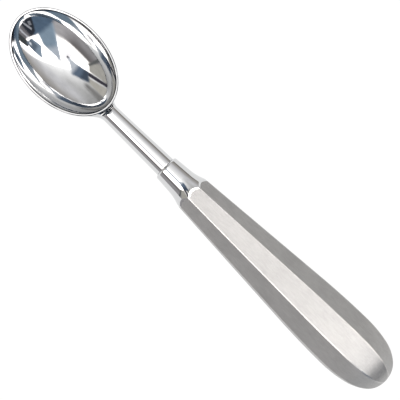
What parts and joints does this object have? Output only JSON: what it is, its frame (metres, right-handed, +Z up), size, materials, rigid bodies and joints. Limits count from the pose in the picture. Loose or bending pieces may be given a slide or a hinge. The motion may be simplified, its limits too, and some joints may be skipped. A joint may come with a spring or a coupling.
{
  "type": "ice cream scoop",
  "caption": "Spoon-type ice-cream scoop: deep oval polished bowl on a tapered round shank, with a polished flared ferrule and a hollow eight-sided satin steel handle with a domed butt.",
  "frame": {"origin": "bottom centre of the whole tool's box, level with the lowest side of the handle at its swell", "axes": "+X along the tool from the bowl's tip towards the butt of the handle, +Z up out of the bowl's mouth, +Y to the left when looking from the bowl to the butt"},
  "size_m": [0.2163, 0.0362, 0.0263],
  "materials": {
    "mirror_steel": "mirror-polished stainless steel",
    "satin_steel": "satin, finely bead-blasted stainless steel",
    "fastener_steel": "plain machined stainless steel"
  },
  "bodies": {
    "root": {"bowl": "mirror_steel", "shank": "mirror_steel", "ferrule": "mirror_steel", "handle_upper_shell": "satin_steel", "handle_lower_shell": "satin_steel", "tang_washer": "fastener_steel", "tang_lock_washer": "fastener_steel", "tang_nut": "fastener_steel"}
  },
  "joints": []
}
